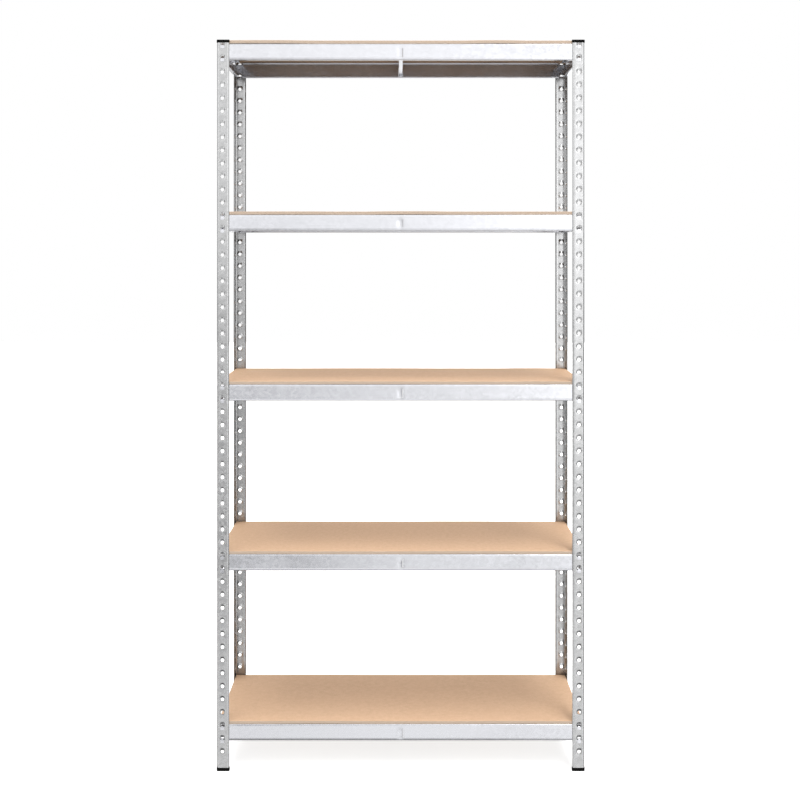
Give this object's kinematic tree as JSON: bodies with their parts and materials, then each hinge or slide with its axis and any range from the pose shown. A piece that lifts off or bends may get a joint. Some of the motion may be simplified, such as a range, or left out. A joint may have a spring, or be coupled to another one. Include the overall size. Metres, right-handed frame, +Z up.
{
  "type": "boltless steel shelving",
  "caption": "Free-standing galvanised steel shelving with slotted corner posts, hook-in beams and loose fibreboard shelves, capped in black plastic.",
  "frame": {"origin": "on the floor, at the centre of the footprint", "axes": "+Z up, -Y towards the front long side, +X to the right seen from the front"},
  "size_m": [0.902, 0.302, 1.79],
  "materials": {
    "galvanised_post": "galvanised sheet, satin with a fine spangle",
    "galvanised_beam": "galvanised sheet, smooth satin",
    "fibreboard": "raw medium-density fibreboard, pale brown and matt",
    "black_cap": "moulded black plastic, fine grain"
  },
  "bodies": {
    "frame": {"post_lower_front_left": "galvanised_post", "post_lower_front_right": "galvanised_post", "post_lower_back_right": "galvanised_post", "post_lower_back_left": "galvanised_post", "post_upper_front_left": "galvanised_post", "post_upper_front_right": "galvanised_post", "post_upper_back_right": "galvanised_post", "post_upper_back_left": "galvanised_post", "splice_front_left": "galvanised_post", "splice_front_right": "galvanised_post", "splice_back_right": "galvanised_post", "splice_back_left": "galvanised_post", "foot_cap_front_left": "black_cap", "foot_cap_front_right": "black_cap", "foot_cap_back_right": "black_cap", "foot_cap_back_left": "black_cap", "top_cap_front_left": "black_cap", "top_cap_front_right": "black_cap", "top_cap_back_right": "black_cap", "top_cap_back_left": "black_cap", "beam_front_1": "galvanised_beam", "beam_back_1": "galvanised_beam", "beam_left_1": "galvanised_beam", "beam_right_1": "galvanised_beam", "beam_front_2": "galvanised_beam", "beam_back_2": "galvanised_beam", "beam_left_2": "galvanised_beam", "beam_right_2": "galvanised_beam", "beam_front_3": "galvanised_beam", "beam_back_3": "galvanised_beam", "beam_left_3": "galvanised_beam", "beam_right_3": "galvanised_beam", "beam_front_4": "galvanised_beam", "beam_back_4": "galvanised_beam", "beam_left_4": "galvanised_beam", "beam_right_4": "galvanised_beam", "beam_front_5": "galvanised_beam", "beam_back_5": "galvanised_beam", "beam_left_5": "galvanised_beam", "beam_right_5": "galvanised_beam", "crossbar_1": "galvanised_beam", "crossbar_2": "galvanised_beam", "crossbar_3": "galvanised_beam", "crossbar_4": "galvanised_beam", "crossbar_5": "galvanised_beam"},
    "shelf_board_1": {"board_1": "fibreboard"},
    "shelf_board_2": {"board_2": "fibreboard"},
    "shelf_board_3": {"board_3": "fibreboard"},
    "shelf_board_4": {"board_4": "fibreboard"},
    "shelf_board_5": {"board_5": "fibreboard"}
  },
  "joints": [
    {"name": "board_1_lift", "type": "slide", "parent": "frame", "child": "shelf_board_1", "axis": [0, 0, 1], "range_m": [0, 0.365]},
    {"name": "board_2_lift", "type": "slide", "parent": "frame", "child": "shelf_board_2", "axis": [0, 0, 1], "range_m": [0, 0.365]},
    {"name": "board_3_lift", "type": "slide", "parent": "frame", "child": "shelf_board_3", "axis": [0, 0, 1], "range_m": [0, 0.365]},
    {"name": "board_4_lift", "type": "slide", "parent": "frame", "child": "shelf_board_4", "axis": [0, 0, 1], "range_m": [0, 0.365]},
    {"name": "board_5_lift", "type": "slide", "parent": "frame", "child": "shelf_board_5", "axis": [0, 0, 1], "range_m": [0, 0.365]}
  ]
}
